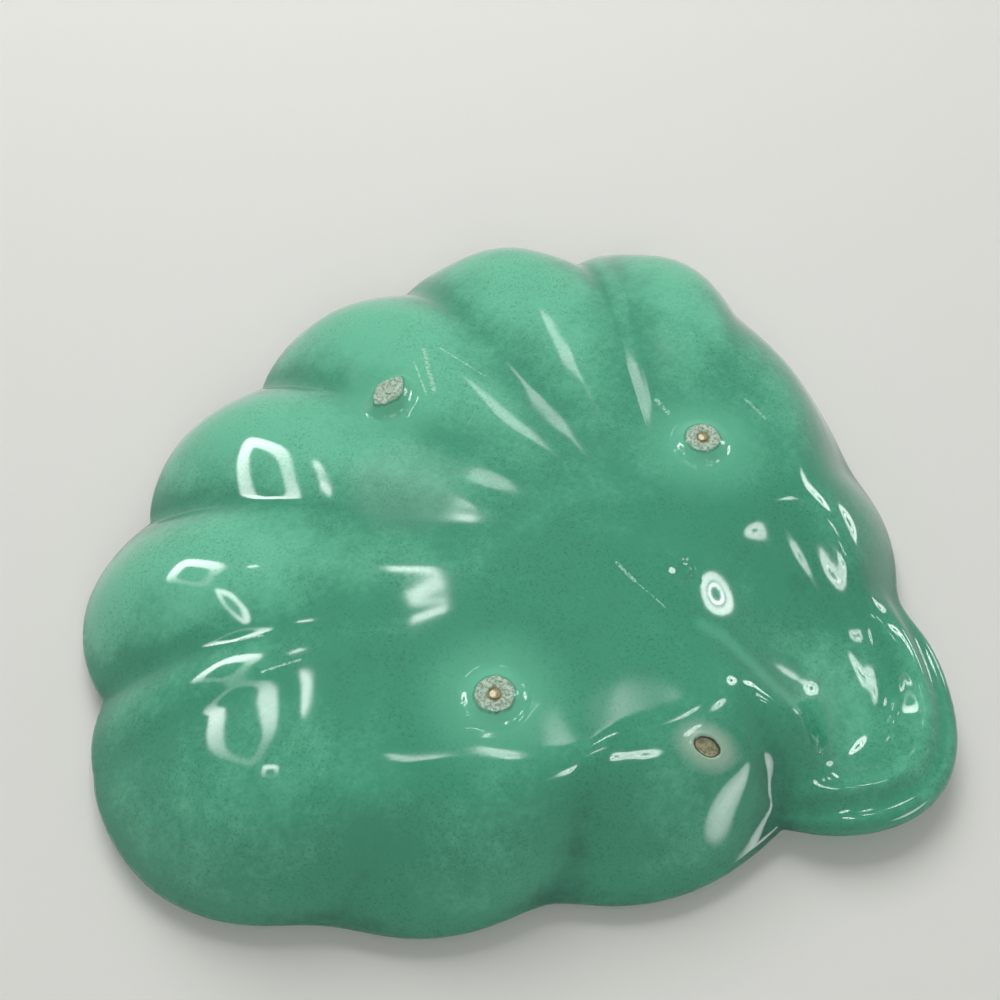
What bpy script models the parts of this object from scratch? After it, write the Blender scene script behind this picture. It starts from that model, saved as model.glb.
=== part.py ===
"""Trinket dish: a scallop shell cast in clay, glazed all over and standing on three ground stilt marks.

The dish is one thin casting. Lobes fan out from a hub near the handle tab, and the wall climbs over the
last stretch of every ray from the hub to the rim. The outside of the wall is worked out first. Every
other surface of the clay and the glaze then lies a set depth inside it, and a full round closes the rim.

The shell lies right side up: +Z is up, the feet stand on z = 0, the handle tab points to -Y.
"""

import math

import bmesh
import bpy
from mathutils import Vector

MM = 0.001

# Driving sizes of the shell
fan_reach = 88.0 * MM
half_width = 71.5 * MM
tab_reach = 43.6 * MM
dish_height = 19.5 * MM
foot_standoff = 1.2 * MM
wall = 4.8 * MM
# How far in from the rim the wall starts to climb, as a share of the way to the hub
wall_run_share = 0.42
least_wall_run = 21.0 * MM
flute_depth = 1.4 * MM
# The slope of the wall where it meets the rim, on a lobe's crest, in a crease and on the tab
crest_lean = math.radians(54.0)
crease_lean = math.radians(42.0)
tab_lean = math.radians(14.0)

# The glaze, and the clearance that keeps each piece apart from the next
glaze_thickness = 0.5 * MM
fit_gap = 0.3 * MM

# Handle tab: how much lower its edge lies than the rest of the rim, and which rays from the hub reach it,
# as shares of their length that run straight towards the tab
tab_drop = 3.0 * MM
tab_start_share = 0.70
tab_full_share = 0.95
# The hollow under the tab, which makes the rounded knob on top. Its path is given as shares of tab_reach:
# how far along, how far across, and its half width there.
hollow_shares = [
    (-0.20, -0.06, 0.30),
    (0.20, -0.14, 0.45),
    (0.48, -0.11, 0.44),
    (0.70, 0.00, 0.65),
    (1.10, 0.00, 1.20),
]
hollow_depth = 12.4 * MM
# The hollow starts this far short of the plateau, so that it opens softly, and its banks rise this much more
hollow_lead = 0.5 * MM
hollow_bank = 2.5 * MM
hollow_edge_round = 3.8 * MM
hollow_start_share = -0.20
hollow_full_share = 0.82
# The hollow gets shallower again towards the tab's edge, by this much of its depth
hollow_rise_start_share = 0.74
hollow_rise_share = 0.30

# Three stilt marks, each a bead of glaze ground flat round a broken pin. Their places are shares of
# half_width and fan_reach.
stilt_shares = {
    "back": (-0.029, 0.613),
    "left": (-0.294, 0.107),
    "right": (0.434, 0.134),
}
foot_face_diameter = 5.0 * MM
foot_base_diameter = 7.6 * MM
pin_bore = 2.3 * MM
pin_diameter = 1.3 * MM
cut_overrun = 1.0 * MM

# Where each lobe starts at the rim, clockwise from the middle of the fan. The first number is a share of
# half_width, and the second a share of fan_reach, or of tab_reach where it is negative. The third says how
# far the lobe bulges past the straight line to the next corner, as a share of that line. The fourth says
# how far in from the rim the crease at its start runs, as a share of the way to the hub, and the fifth how
# deep that crease is, as a share of the deepest.
lobe_shares = [
    (0.000, 0.932, 0.190, 0.90, 0.85),
    (0.438, 0.889, 0.220, 0.85, 0.85),
    (0.797, 0.705, 0.100, 0.65, 0.80),
    (0.925, 0.625, 0.215, 0.55, 0.80),
    (0.874, 0.186, 0.140, 0.30, 0.30),
    (0.618, -0.134, 0.150, 0.30, 0.50),
    (0.272, -0.606, 0.415, 0.30, 0.80),
    (-0.290, -0.602, 0.130, 0.35, 0.45),
    (-0.564, -0.243, 0.075, 0.40, 0.55),
    (-0.866, 0.249, 0.190, 0.55, 0.60),
    (-0.866, 0.572, 0.100, 0.70, 0.80),
    (-0.792, 0.600, 0.225, 0.80, 0.80),
    (-0.450, 0.852, 0.195, 0.90, 0.80),
]
# The tab is the lobe in this place of the list, and its bulge leans towards its start
tab_lobe = 6
tab_skew_share = 0.87
lobe_facets = [6, 6, 2, 7, 5, 5, 10, 5, 6, 6, 2, 6, 6]
# A lobe's outline is a sine raised to this share: below 1 the lobe is fuller and its creases sharper
lobe_fullness_share = 0.75
# A lobe shorter than this rises less, so that the two narrow ones are folds in a crease
full_lobe_length = 26.0 * MM
# How far a crease of no depth at all would be rounded off at the rim
notch_softness = 8.0 * MM
# The creases open out from sharp at the rim to round where they end, over this much of the rim
rim_crease_share = 1.10
hub_crease_share = 2.00
crease_spread = 11.0 * MM
rim_fade_power = 6

ray_steps = 13
rim_steps = 5
foot_facets = 24
height_steps = 200


def smooth_step(share):
    """Ease from 0 to 1 with a level start and end."""
    share = min(max(share, 0.0), 1.0)
    return share * share * (3.0 - 2.0 * share)


def corner_points():
    """The crease ends round the rim, in real sizes."""
    points = []
    for across, along, _, _, _ in lobe_shares:
        reach = fan_reach if along > 0.0 else tab_reach
        points.append(Vector((across * half_width, along * reach)))
    return points


def blend(start, end, share):
    """A value part of the way from one number to another."""
    return start + (end - start) * share


def rim_edges():
    """The outer edge with sharp creases, point by point.

    Every entry holds the point, its crest (0 in a crease, 1 on a full lobe's crest), and the run and the
    depth of the creases beside it.
    """
    corners = corner_points()
    edges = []
    for index, (_, _, bulge_share, crease_run, crease_depth) in enumerate(lobe_shares):
        after = (index + 1) % len(corners)
        start = corners[index]
        line = corners[after] - start
        outward = Vector((-line.y, line.x)).normalized()
        rise = min(line.length / full_lobe_length, 1.0)
        skew = tab_skew_share if index == tab_lobe else 1.0
        for step in range(lobe_facets[index]):
            place = step / lobe_facets[index]
            arch = math.sin(math.pi * place ** skew)
            point = start + line * place + outward * line.length * bulge_share * arch ** lobe_fullness_share
            run = blend(crease_run, lobe_shares[after][3], place)
            depth = blend(crease_depth, lobe_shares[after][4], place)
            edges.append((point, arch * rise, run, depth))
    return edges


def rim_outline():
    """The outer edge with its shallow creases rounded off.

    To what rim_edges gives, every entry adds the reach from the hub that is left once the creases have
    softened away.
    """
    edges = rim_edges()
    lengths = [(after[0] - before[0]).length for before, after in zip(edges[-1:] + edges, edges[1:] + edges[:1])]
    outline = []
    for edge, crest, run, depth in edges:
        softness = notch_softness * (1.0 - depth)
        point = Vector((0.0, 0.0))
        point_weights = 0.0
        reach = 0.0
        reach_weights = 0.0
        for (other, _, _, _), length in zip(edges, lengths):
            away = (other - edge).length
            weight = math.exp(-(away / softness) ** 2) * length
            point += weight * other
            point_weights += weight
            weight = math.exp(-(away / crease_spread) ** 2) * length
            reach += weight * other.length
            reach_weights += weight
        outline.append((point / point_weights, crest, run, depth, reach / reach_weights))
    return outline


def hollow_height(plan, share):
    """The height of the hollow under the handle tab at a place in plan."""
    along = -plan.y / tab_reach
    before, after = hollow_shares[:2]
    for step in hollow_shares[2:]:
        if along > after[0]:
            before, after = after, step
    span = smooth_step((along - before[0]) / (after[0] - before[0]))
    across = blend(before[1], after[1], span)
    half = blend(before[2], after[2], span)
    away = (plan.x / tab_reach - across) / half
    deepening = smooth_step((along - hollow_start_share) / (hollow_full_share - hollow_start_share))
    depth = blend(-hollow_lead, hollow_depth, deepening)
    rise_share = (share - hollow_rise_start_share) / (1.0 - hollow_rise_start_share)
    depth *= 1.0 - hollow_rise_share * smooth_step(rise_share)
    bank = (depth + hollow_bank) * away ** 2
    return foot_standoff + depth - bank - tab_reach * max(hollow_start_share - along, 0.0)


def outside_point(entry, share):
    """The outside of the shell at a share of the way from the hub to an entry of the rim's outline."""
    edge, crest, crease_run, crease_depth, soft_reach = entry
    reach = edge.length
    near_rim = smooth_step((share - 1.0 + crease_run) / crease_run)
    plan = edge * share * blend(soft_reach / reach, 1.0, near_rim)
    run = max(wall_run_share * reach, least_wall_run)
    climb = min(max((share * reach - reach + run) / run, 0.0), 1.0)
    crease = near_rim * (1.0 - crest ** blend(hub_crease_share, rim_crease_share, near_rim)) * crease_depth
    tab = smooth_step((-edge.y / reach - tab_start_share) / (tab_full_share - tab_start_share))
    lean = blend(blend(crest_lean, crease_lean, crease), tab_lean, tab)
    rise = dish_height - wall / 2.0 * (1.0 + math.cos(lean)) - foot_standoff - tab_drop * tab
    steepness = math.tan(lean) * run / rise
    height = foot_standoff + rise * climb ** 2 * ((3.0 - steepness) + (steepness - 2.0) * climb)
    height += flute_depth * crease * (1.0 - share ** rim_fade_power)
    plan *= 1.0 - wall / 2.0 * (1.0 - math.sin(lean)) / reach
    # The deeper of the wall and the hollow, with a rounded edge where they meet
    gap = hollow_height(plan, share) - height
    height += (gap + math.sqrt(gap ** 2 + hollow_edge_round ** 2)) / 2.0
    return Vector((plan.x, plan.y, height))


def ray_shares():
    """Steps from the hub to the rim, closer together where the wall climbs."""
    return [math.sin(math.pi / 2.0 * step / ray_steps) for step in range(1, ray_steps + 1)]


def shell_skin():
    """The outside points ring by ring, the way into the wall at each, and the way out at the rim."""
    outline = rim_outline()
    count = len(outline)
    rings = [[outside_point(entry, share) for entry in outline] for share in ray_shares()]
    hub = outside_point(outline[0], 0.0)
    inward = []
    for step, ring in enumerate(rings):
        before = rings[step - 1] if step > 0 else [hub] * count
        after = rings[step + 1] if step + 1 < len(rings) else ring
        row = []
        for index in range(count):
            along_ray = after[index] - before[index]
            along_ring = ring[(index + 1) % count] - ring[index - 1]
            normal = along_ring.cross(along_ray).normalized()
            row.append(normal if normal.z > 0.0 else -normal)
        inward.append(row)
    outward = []
    for index in range(count):
        along_ring = rings[-1][(index + 1) % count] - rings[-1][index - 1]
        way = along_ring.cross(inward[-1][index]).normalized()
        if way.dot(rings[-1][index] - rings[-2][index]) < 0.0:
            way.negate()
        outward.append(way)
    return hub, rings, inward, outward


def shell_rings(depth):
    """Closed rings of the solid that lies a depth inside the shell: outside, round rim, then inside."""
    hub, rings, inward, outward = shell_skin()
    count = len(outward)
    loops = []
    for ring, row in zip(rings, inward):
        loops.append([point + way * depth for point, way in zip(ring, row)])
    radius = wall / 2.0 - depth
    for step in range(1, rim_steps):
        turn = math.pi * step / rim_steps
        loop = []
        for index in range(count):
            middle = rings[-1][index] + inward[-1][index] * wall / 2.0
            spoke = outward[index] * math.sin(turn) - inward[-1][index] * math.cos(turn)
            loop.append(middle + spoke * radius)
        loops.append(loop)
    for ring, row in zip(rings[::-1], inward[::-1]):
        loops.append([point + way * (wall - depth) for point, way in zip(ring, row)])
    up = Vector((0.0, 0.0, 1.0))
    return hub + up * depth, loops, hub + up * (wall - depth)


def shell_centre():
    """The middle of the shell's box in plan, which becomes x = y = 0."""
    loops = shell_rings(0.0)[1]
    xs = [point.x for loop in loops for point in loop]
    ys = [point.y for loop in loops for point in loop]
    return Vector(((min(xs) + max(xs)) / 2.0, (min(ys) + max(ys)) / 2.0, 0.0))


def add_shell(mesh, depth, centre, inside_out=False):
    """Loft one closed shell surface into a bmesh."""
    low_pole, loops, high_pole = shell_rings(depth)
    rows = [[mesh.verts.new(point - centre) for point in loop] for loop in loops]
    low = mesh.verts.new(low_pole - centre)
    high = mesh.verts.new(high_pole - centre)
    count = len(rows[0])
    faces = []
    for index in range(count):
        after = (index + 1) % count
        faces.append(mesh.faces.new((low, rows[0][index], rows[0][after])))
        for lower, upper in zip(rows, rows[1:]):
            faces.append(mesh.faces.new((lower[index], upper[index], upper[after])))
            faces.append(mesh.faces.new((lower[index], upper[after], lower[after])))
        faces.append(mesh.faces.new((high, rows[-1][after], rows[-1][index])))
    if inside_out:
        bmesh.ops.reverse_faces(mesh, faces=faces)
    return faces


def plain_material(name, colour, roughness):
    """A Principled material with one colour."""
    material = bpy.data.materials.new(name)
    material.use_nodes = True
    shader = material.node_tree.nodes["Principled BSDF"]
    shader.inputs["Base Color"].default_value = (*colour, 1.0)
    shader.inputs["Roughness"].default_value = roughness
    return material


def add_object(name, mesh, material):
    """Turn a bmesh into an object with its own material."""
    data = bpy.data.meshes.new(name)
    mesh.to_mesh(data)
    mesh.free()
    item = bpy.data.objects.new(name, data)
    bpy.context.scene.collection.objects.link(item)
    if material is not None:
        data.materials.append(material)
    data.shade_smooth()
    data.set_sharp_from_angle(angle=math.radians(40.0))
    return item


def add_cutter(name, mesh):
    """Turn a bmesh into a cutter, which isn't part of the dish."""
    item = add_object(name, mesh, None)
    item.hide_render = True
    item.display_type = "WIRE"
    return item


def cut(item, cutter):
    """Take a cutter's shape out of an object."""
    modifier = item.modifiers.new("cut_" + cutter.name, "BOOLEAN")
    modifier.operation = "DIFFERENCE"
    modifier.solver = "EXACT"
    modifier.object = cutter


def cone_mesh(place, low, high, low_diameter, high_diameter):
    """An upright cone or cylinder between two heights."""
    mesh = bmesh.new()
    bmesh.ops.create_cone(mesh, cap_ends=True, segments=foot_facets, radius1=low_diameter / 2.0,
                          radius2=high_diameter / 2.0, depth=high - low)
    bmesh.ops.translate(mesh, verts=mesh.verts, vec=Vector((place.x, place.y, (low + high) / 2.0)))
    return mesh


def height_over(plan, outline):
    """The height of the shell's outside over a place in plan, measured from the hub."""
    entry = min(outline, key=lambda entry: entry[0].angle(plan))
    points = [outside_point(entry, step / height_steps) for step in range(height_steps + 1)]
    return min(points, key=lambda point: abs(point.xy.length - plan.length)).z


def make_clay_body(centre):
    """The fired clay casting, inside the glaze on every side."""
    mesh = bmesh.new()
    add_shell(mesh, glaze_thickness + fit_gap, centre)
    return add_object("clay_body", mesh, plain_material("fired_clay", (0.78, 0.70, 0.56), 0.85))


def make_glaze_coat(centre):
    """The glaze all round the clay, as a thin closed coat."""
    mesh = bmesh.new()
    add_shell(mesh, 0.0, centre)
    add_shell(mesh, glaze_thickness, centre, inside_out=True)
    return add_object("glaze_coat", mesh, plain_material("green_glaze", (0.06, 0.33, 0.20), 0.08))


def make_seat_cutter(centre):
    """The shape that ends each foot and pin a fit gap short of the clay."""
    mesh = bmesh.new()
    add_shell(mesh, glaze_thickness, centre)
    return add_cutter("seat_cutter", mesh)


def make_foot(side, place, height, glaze, seat):
    """One stilt mark: a bead of glaze ground flat, with the broken pin in its bore."""
    top = height + wall / 2.0
    cut(glaze, add_cutter("opening_cutter_" + side,
                          cone_mesh(place, -cut_overrun, top, foot_base_diameter + 2.0 * fit_gap,
                                    foot_base_diameter + 2.0 * fit_gap)))
    bead = add_object("foot_nub_" + side, cone_mesh(place, 0.0, top, foot_face_diameter, foot_base_diameter),
                      plain_material("ground_glaze_" + side, (0.42, 0.45, 0.38), 0.75))
    cut(bead, add_cutter("bore_cutter_" + side,
                         cone_mesh(place, -cut_overrun, top + cut_overrun, pin_bore, pin_bore)))
    cut(bead, seat)
    pin = add_object("pin_tip_" + side, cone_mesh(place, 0.0, top, pin_diameter, pin_diameter),
                     plain_material("pin_clay_" + side, (0.80, 0.68, 0.36), 0.80))
    cut(pin, seat)


def make_dish():
    """Build the whole dish."""
    for item in list(bpy.data.objects):
        bpy.data.objects.remove(item)
    centre = shell_centre()
    make_clay_body(centre)
    glaze = make_glaze_coat(centre)
    seat = make_seat_cutter(centre)
    outline = rim_outline()
    for side, (across, along) in stilt_shares.items():
        spot = Vector((across * half_width, along * fan_reach))
        height = height_over(spot, outline)
        print("foot", side, "stands under the shell where its outside is", round(height / MM, 2), "mm up")
        make_foot(side, spot - centre.xy, height, glaze, seat)


make_dish()
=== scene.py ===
# %% [markdown]
# A trinket dish in the shape of a scallop shell
#
# The dish is slip-cast earthenware under a glossy sea-green glaze. It is shown lying upside down, as it
# was photographed, so the underside is what the camera sees: bulging lobes with creases between them, a
# hollow under the handle tab, and three ground marks where the kiln's stilt stood.
#
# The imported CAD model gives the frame. This file lays one fine glazed skin over it and paints the clay,
# the glaze and the broken stilt pins.

# %% Load the frame
import math
from functools import cached_property

import bmesh
import bpy
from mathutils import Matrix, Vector, noise


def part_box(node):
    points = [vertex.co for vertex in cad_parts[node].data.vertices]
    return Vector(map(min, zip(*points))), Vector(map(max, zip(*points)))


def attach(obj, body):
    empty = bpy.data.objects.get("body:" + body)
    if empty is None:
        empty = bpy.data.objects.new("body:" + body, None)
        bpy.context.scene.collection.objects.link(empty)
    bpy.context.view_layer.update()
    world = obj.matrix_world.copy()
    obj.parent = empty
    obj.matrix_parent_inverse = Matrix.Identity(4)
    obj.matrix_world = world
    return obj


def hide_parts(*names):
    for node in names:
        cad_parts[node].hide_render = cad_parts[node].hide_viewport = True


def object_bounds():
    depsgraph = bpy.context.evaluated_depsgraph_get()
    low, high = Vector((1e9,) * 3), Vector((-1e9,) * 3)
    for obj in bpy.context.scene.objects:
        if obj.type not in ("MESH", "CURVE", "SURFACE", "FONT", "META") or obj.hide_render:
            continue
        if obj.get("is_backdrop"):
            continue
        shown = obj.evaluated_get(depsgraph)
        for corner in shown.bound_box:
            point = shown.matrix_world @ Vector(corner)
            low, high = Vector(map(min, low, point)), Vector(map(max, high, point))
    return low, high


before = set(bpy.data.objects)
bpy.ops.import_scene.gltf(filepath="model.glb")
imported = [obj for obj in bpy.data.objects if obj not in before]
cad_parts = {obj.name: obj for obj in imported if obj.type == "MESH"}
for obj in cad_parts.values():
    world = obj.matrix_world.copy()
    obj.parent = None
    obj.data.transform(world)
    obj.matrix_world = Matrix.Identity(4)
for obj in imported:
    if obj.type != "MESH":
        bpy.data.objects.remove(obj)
cad_low, cad_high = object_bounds()
MM = 0.001
print("CAD box in mm:", [round(side / MM, 1) for side in cad_high - cad_low])

# %% [markdown]
# The shell's sizes
#
# Every surface of a cast shell follows from its rim. The rim is a chain of arches, one for each lobe, and
# the table gives the crease where each arch starts. A spline drawn by hand could follow the rim as well,
# but an arch has only three numbers to get right, and stays round when one of them moves.

# %% Sizes of the shell
fan_reach = 88.0 * MM
half_width = 71.5 * MM
tab_reach = 43.6 * MM
dish_height = 19.5 * MM
foot_standoff = 1.2 * MM
wall = 4.8 * MM
wall_run_share = 0.42
least_wall_run = 21.0 * MM
flute_depth = 1.4 * MM
crest_lean = math.radians(54.0)
crease_lean = math.radians(42.0)
tab_lean = math.radians(14.0)
full_lobe_length = 26.0 * MM
crease_spread = 11.0 * MM
notch_softness = 8.0 * MM
print("shell in mm:", round((fan_reach + tab_reach) / MM, 1), "long,", round(2.0 * half_width / MM, 1), "wide")

# %% The lobes round the rim
# How far across and along each lobe starts, how far it bulges, how far in its first crease runs, and how deep
lobe_shares = [
    (0.000, 0.932, 0.190, 0.90, 0.85),
    (0.438, 0.889, 0.220, 0.85, 0.85),
    (0.797, 0.705, 0.100, 0.65, 0.80),
    (0.925, 0.625, 0.215, 0.55, 0.80),
    (0.874, 0.186, 0.140, 0.30, 0.30),
    (0.618, -0.134, 0.150, 0.30, 0.50),
    (0.272, -0.606, 0.415, 0.30, 0.80),
    (-0.290, -0.602, 0.130, 0.35, 0.45),
    (-0.564, -0.243, 0.075, 0.40, 0.55),
    (-0.866, 0.249, 0.190, 0.55, 0.60),
    (-0.866, 0.572, 0.100, 0.70, 0.80),
    (-0.792, 0.600, 0.225, 0.80, 0.80),
    (-0.450, 0.852, 0.195, 0.90, 0.80),
]
lobe_facets = [26, 26, 8, 32, 28, 30, 90, 30, 26, 26, 8, 26, 26]
# The handle tab leans towards one side
tab_lobe = 6
tab_skew_share = 0.87
# An arch is a sine raised to this: below 1 the lobe is fuller and its creases are sharper
lobe_fullness_share = 0.75
# A crease is sharp at the rim and opens out towards the hub
rim_crease_share = 1.10
hub_crease_share = 2.00
rim_fade_power = 6
print("lobes:", len(lobe_shares), "points round the rim:", sum(lobe_facets))

# %% The tab and the hollow under it
tab_drop = 3.0 * MM
tab_start_share = 0.70
tab_full_share = 0.95
# The hollow's path: how far along, how far across, and its half width there
hollow_shares = [
    (-0.20, -0.06, 0.30),
    (0.20, -0.14, 0.45),
    (0.48, -0.11, 0.44),
    (0.70, 0.00, 0.65),
    (1.10, 0.00, 1.20),
]
hollow_depth = 12.4 * MM
hollow_lead = 0.5 * MM
hollow_bank = 2.5 * MM
hollow_edge_round = 3.8 * MM
hollow_start_share = -0.20
hollow_full_share = 0.82
hollow_rise_start_share = 0.74
hollow_rise_share = 0.30
print("hollow in mm:", round(hollow_depth / MM, 1), "deep")

# %% [markdown]
# The tab's finer forms
#
# The glaze shows two forms a little sharper than the cast clay has them: the hollow's edge, and a soft bead
# with a groove behind it, just inside the tab's edge. Both could be bump in the material, but a mirror-like
# glaze gives a false edge away, so they are real shapes.

# %% Sizes of the bead, the groove and the sharper edge
shown_edge_round = 1.6 * MM
bead_rise = 0.75 * MM
bead_inset = 3.2 * MM
bead_spread = 1.7 * MM
groove_sink = 0.45 * MM
groove_inset = 7.4 * MM
groove_spread = 2.2 * MM
print("bead in mm:", round(bead_rise / MM, 2), "high,", round(bead_inset / MM, 1), "in from the edge")

# %% [markdown]
# The rim seen from above
#
# Each lobe is a straight line from crease to crease, pushed out by an arch. A crease that isn't deep is
# rounded off, by an average over its neighbours. The average's width follows from the crease's depth.

# %% The rim's edge, lobe by lobe


def smooth_step(share):
    """Ease from 0 to 1 with a level start and end."""
    share = min(max(share, 0.0), 1.0)
    return share * share * (3.0 - 2.0 * share)


def blend(start, end, share):
    """A value part of the way from one number to another."""
    return start + (end - start) * share


def rim_edges():
    """The rim's points with sharp creases, each with its crest and its creases' run and depth."""
    corners = [Vector((across * half_width, along * (fan_reach if along > 0.0 else tab_reach)))
               for across, along, _, _, _ in lobe_shares]
    edges = []
    for index, (_, _, bulge_share, crease_run, crease_depth) in enumerate(lobe_shares):
        start = corners[index]
        after = (index + 1) % len(corners)
        line = corners[after] - start
        outward = Vector((-line.y, line.x)).normalized()
        rise = min(line.length / full_lobe_length, 1.0)
        for step in range(lobe_facets[index]):
            place = step / lobe_facets[index]
            arch = math.sin(math.pi * place ** (tab_skew_share if index == tab_lobe else 1.0))
            point = start + line * place + outward * line.length * bulge_share * arch ** lobe_fullness_share
            edges.append((point, arch * rise, blend(crease_run, lobe_shares[after][3], place),
                          blend(crease_depth, lobe_shares[after][4], place)))
    return edges


print("edge points:", len(rim_edges()))

# %% The rim's outline, with its shallow creases rounded off


def rim_outline():
    """What rim_edges gives, rounded off, and the reach that is left once the creases have softened away."""
    edges = rim_edges()
    lengths = [(after[0] - before[0]).length for before, after in zip(edges[-1:] + edges, edges[1:] + edges[:1])]
    rounded = []
    for edge, crest, run, depth in edges:
        softness = notch_softness * (1.0 - depth)
        point = Vector((0.0, 0.0))
        reach = point_weights = reach_weights = 0.0
        for (other, _, _, _), length in zip(edges, lengths):
            away = (other - edge).length
            weight = math.exp(-(away / softness) ** 2) * length
            point += weight * other
            point_weights += weight
            weight = math.exp(-(away / crease_spread) ** 2) * length
            reach += weight * other.length
            reach_weights += weight
        rounded.append((point / point_weights, crest, run, depth, reach / reach_weights))
    return rounded


outline = rim_outline()
print("rim points:", len(outline))

# %% [markdown]
# The wall under each point of the rim
#
# A shell's wall climbs over the last stretch of every ray from the hub to the rim. A cubic curve gives it a
# level start and a chosen slope at the rim, steeper on a lobe than in a crease. The hollow under the tab is
# blended in over the same points, so that no seam shows where the two meet.

# %% The hollow's height


def hollow_height(plan, share):
    """The height of the hollow under the tab at a place in plan."""
    along = -plan.y / tab_reach
    before, after = hollow_shares[:2]
    for step in hollow_shares[2:]:
        if along > after[0]:
            before, after = after, step
    span = smooth_step((along - before[0]) / (after[0] - before[0]))
    away = (plan.x / tab_reach - blend(before[1], after[1], span)) / blend(before[2], after[2], span)
    deepening = smooth_step((along - hollow_start_share) / (hollow_full_share - hollow_start_share))
    depth = blend(-hollow_lead, hollow_depth, deepening)
    rising = (share - hollow_rise_start_share) / (1.0 - hollow_rise_start_share)
    depth *= 1.0 - hollow_rise_share * smooth_step(rising)
    bank = (depth + hollow_bank) * away ** 2
    return foot_standoff + depth - bank - tab_reach * max(hollow_start_share - along, 0.0)


def hump(away, spread):
    """A smooth hump, 1 in its middle."""
    return math.exp(-(away / spread) ** 2)


hollow_top = hollow_height(Vector((0.0, -hollow_full_share * tab_reach)), hollow_rise_start_share)
print("hollow's highest point in mm:", round(hollow_top / MM, 1))

# %% The outside of the wall
ray_steps = 60


def outside_point(entry, share, shown=True):
    """The outside of the shell at a share of the way from the hub to the rim, as shown or as cast."""
    edge, crest, crease_run, crease_depth, soft_reach = entry
    reach = edge.length
    near_rim = smooth_step((share - 1.0 + crease_run) / crease_run)
    plan = edge * share * blend(soft_reach / reach, 1.0, near_rim)
    run = max(wall_run_share * reach, least_wall_run)
    climb = min(max((share * reach - reach + run) / run, 0.0), 1.0)
    crease = near_rim * (1.0 - crest ** blend(hub_crease_share, rim_crease_share, near_rim)) * crease_depth
    tab = smooth_step((-edge.y / reach - tab_start_share) / (tab_full_share - tab_start_share))
    lean = blend(blend(crest_lean, crease_lean, crease), tab_lean, tab)
    rise = dish_height - wall / 2.0 * (1.0 + math.cos(lean)) - foot_standoff - tab_drop * tab
    steepness = math.tan(lean) * run / rise
    height = foot_standoff + rise * climb ** 2 * ((3.0 - steepness) + (steepness - 2.0) * climb)
    height += flute_depth * crease * (1.0 - share ** rim_fade_power)
    plan *= 1.0 - wall / 2.0 * (1.0 - math.sin(lean)) / reach
    gap = hollow_height(plan, share) - height
    edge_round = hollow_edge_round
    if shown:
        inset = reach * (1.0 - share)
        edge_round = blend(hollow_edge_round, shown_edge_round, smooth_step(inset / groove_inset))
        groove = groove_sink * hump(inset - groove_inset, groove_spread)
        bead = bead_rise * hump(inset - bead_inset, bead_spread) * smooth_step(inset / bead_inset)
        height += tab * (groove - bead)
    height += (gap + math.sqrt(gap ** 2 + edge_round ** 2)) / 2.0
    return Vector((plan.x, plan.y, height))


shares = [math.sin(math.pi / 2.0 * step / ray_steps) for step in range(1, ray_steps + 1)]
outside = [[outside_point(entry, share) for entry in outline] for share in shares]
cast = [[outside_point(entry, share, shown=False) for entry in outline] for share in shares]
hub = outside_point(outline[0], 0.0, shown=False)
print("outside rings:", len(outside), "lowest point in mm:", round(min(p.z for r in outside for p in r) / MM, 2))

# %% [markdown]
# The inside and the rounded rim
#
# A cast wall is even, so the inside lies one wall thickness in from the outside, measured square to it. The
# rim is a full round. A Solidify modifier could thicken the outside too, but it leaves a square rim, and its
# bevel would have to be fitted to each crease.

# %% The way into the wall


def across_wall(step, index):
    """The way into the wall at one point of the outside, as cast."""
    ring = cast[step]
    along_ring = ring[(index + 1) % len(ring)] - ring[index - 1]
    before = cast[step - 1][index] if step > 0 else hub
    after = cast[min(step + 1, len(cast) - 1)][index]
    way = along_ring.cross(after - before).normalized()
    return way if way.z > 0.0 else -way


inward = [[across_wall(step, index) for index in range(len(outline))] for step in range(len(outside))]
print("steepest wall leans by", round(math.degrees(math.acos(min(way.z for way in inward[-1])))), "degrees")

# %% Rings of the whole shell
rim_steps = 16
rings = list(outside)
for step in range(1, rim_steps):
    turn = math.pi * step / rim_steps
    ring = []
    for index, way in enumerate(inward[-1]):
        along_ring = outside[-1][(index + 1) % len(outline)] - outside[-1][index - 1]
        outward = along_ring.cross(way).normalized()
        if outward.dot(outside[-1][index] - outside[-2][index]) < 0.0:
            outward.negate()
        ring.append(outside[-1][index] + way * wall / 2.0
                    + (outward * math.sin(turn) - way * math.cos(turn)) * wall / 2.0)
    rings.append(ring)
for ring, ways in zip(cast[::-1], inward[::-1]):
    rings.append([point + way * wall for point, way in zip(ring, ways)])
print("rings in all:", len(rings))

# %% [markdown]
# One skin from one circle
#
# The mesh starts as a circle at the hub. Each step extrudes the open edge and moves the new points to their
# ring, out over the rim and back to the hub on the inside, where the last ring closes to a point. A number on
# each point says whether it lies on a ridge or in a crease, for the glaze to read.

# %% Where the ridges are
ridge_start_share = 0.22
ridge_full_share = 0.62


def ridge_amount(entry, share):
    """How far a place on the outside is a ridge rather than a crease, from 1 to -1."""
    _, crest, _, crease_depth, _ = entry
    grown = smooth_step((share - ridge_start_share) / (ridge_full_share - ridge_start_share))
    return (2.0 * crest - 1.0) * crease_depth * grown


inside_rings = ray_steps + 2
ridges = [[ridge_amount(entry, share) for entry in outline] for share in shares]
ridges += [ridges[-1]] * (rim_steps - 1)
ridges += [[0.0] * len(outline)] * inside_rings
print("ridges from", round(min(ridges[ray_steps - 1]), 2), "to", round(max(ridges[ray_steps - 1]), 2))

# %% Loft the skin
first_radius = 1.0 * MM
weld_distance = 0.001 * MM

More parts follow.
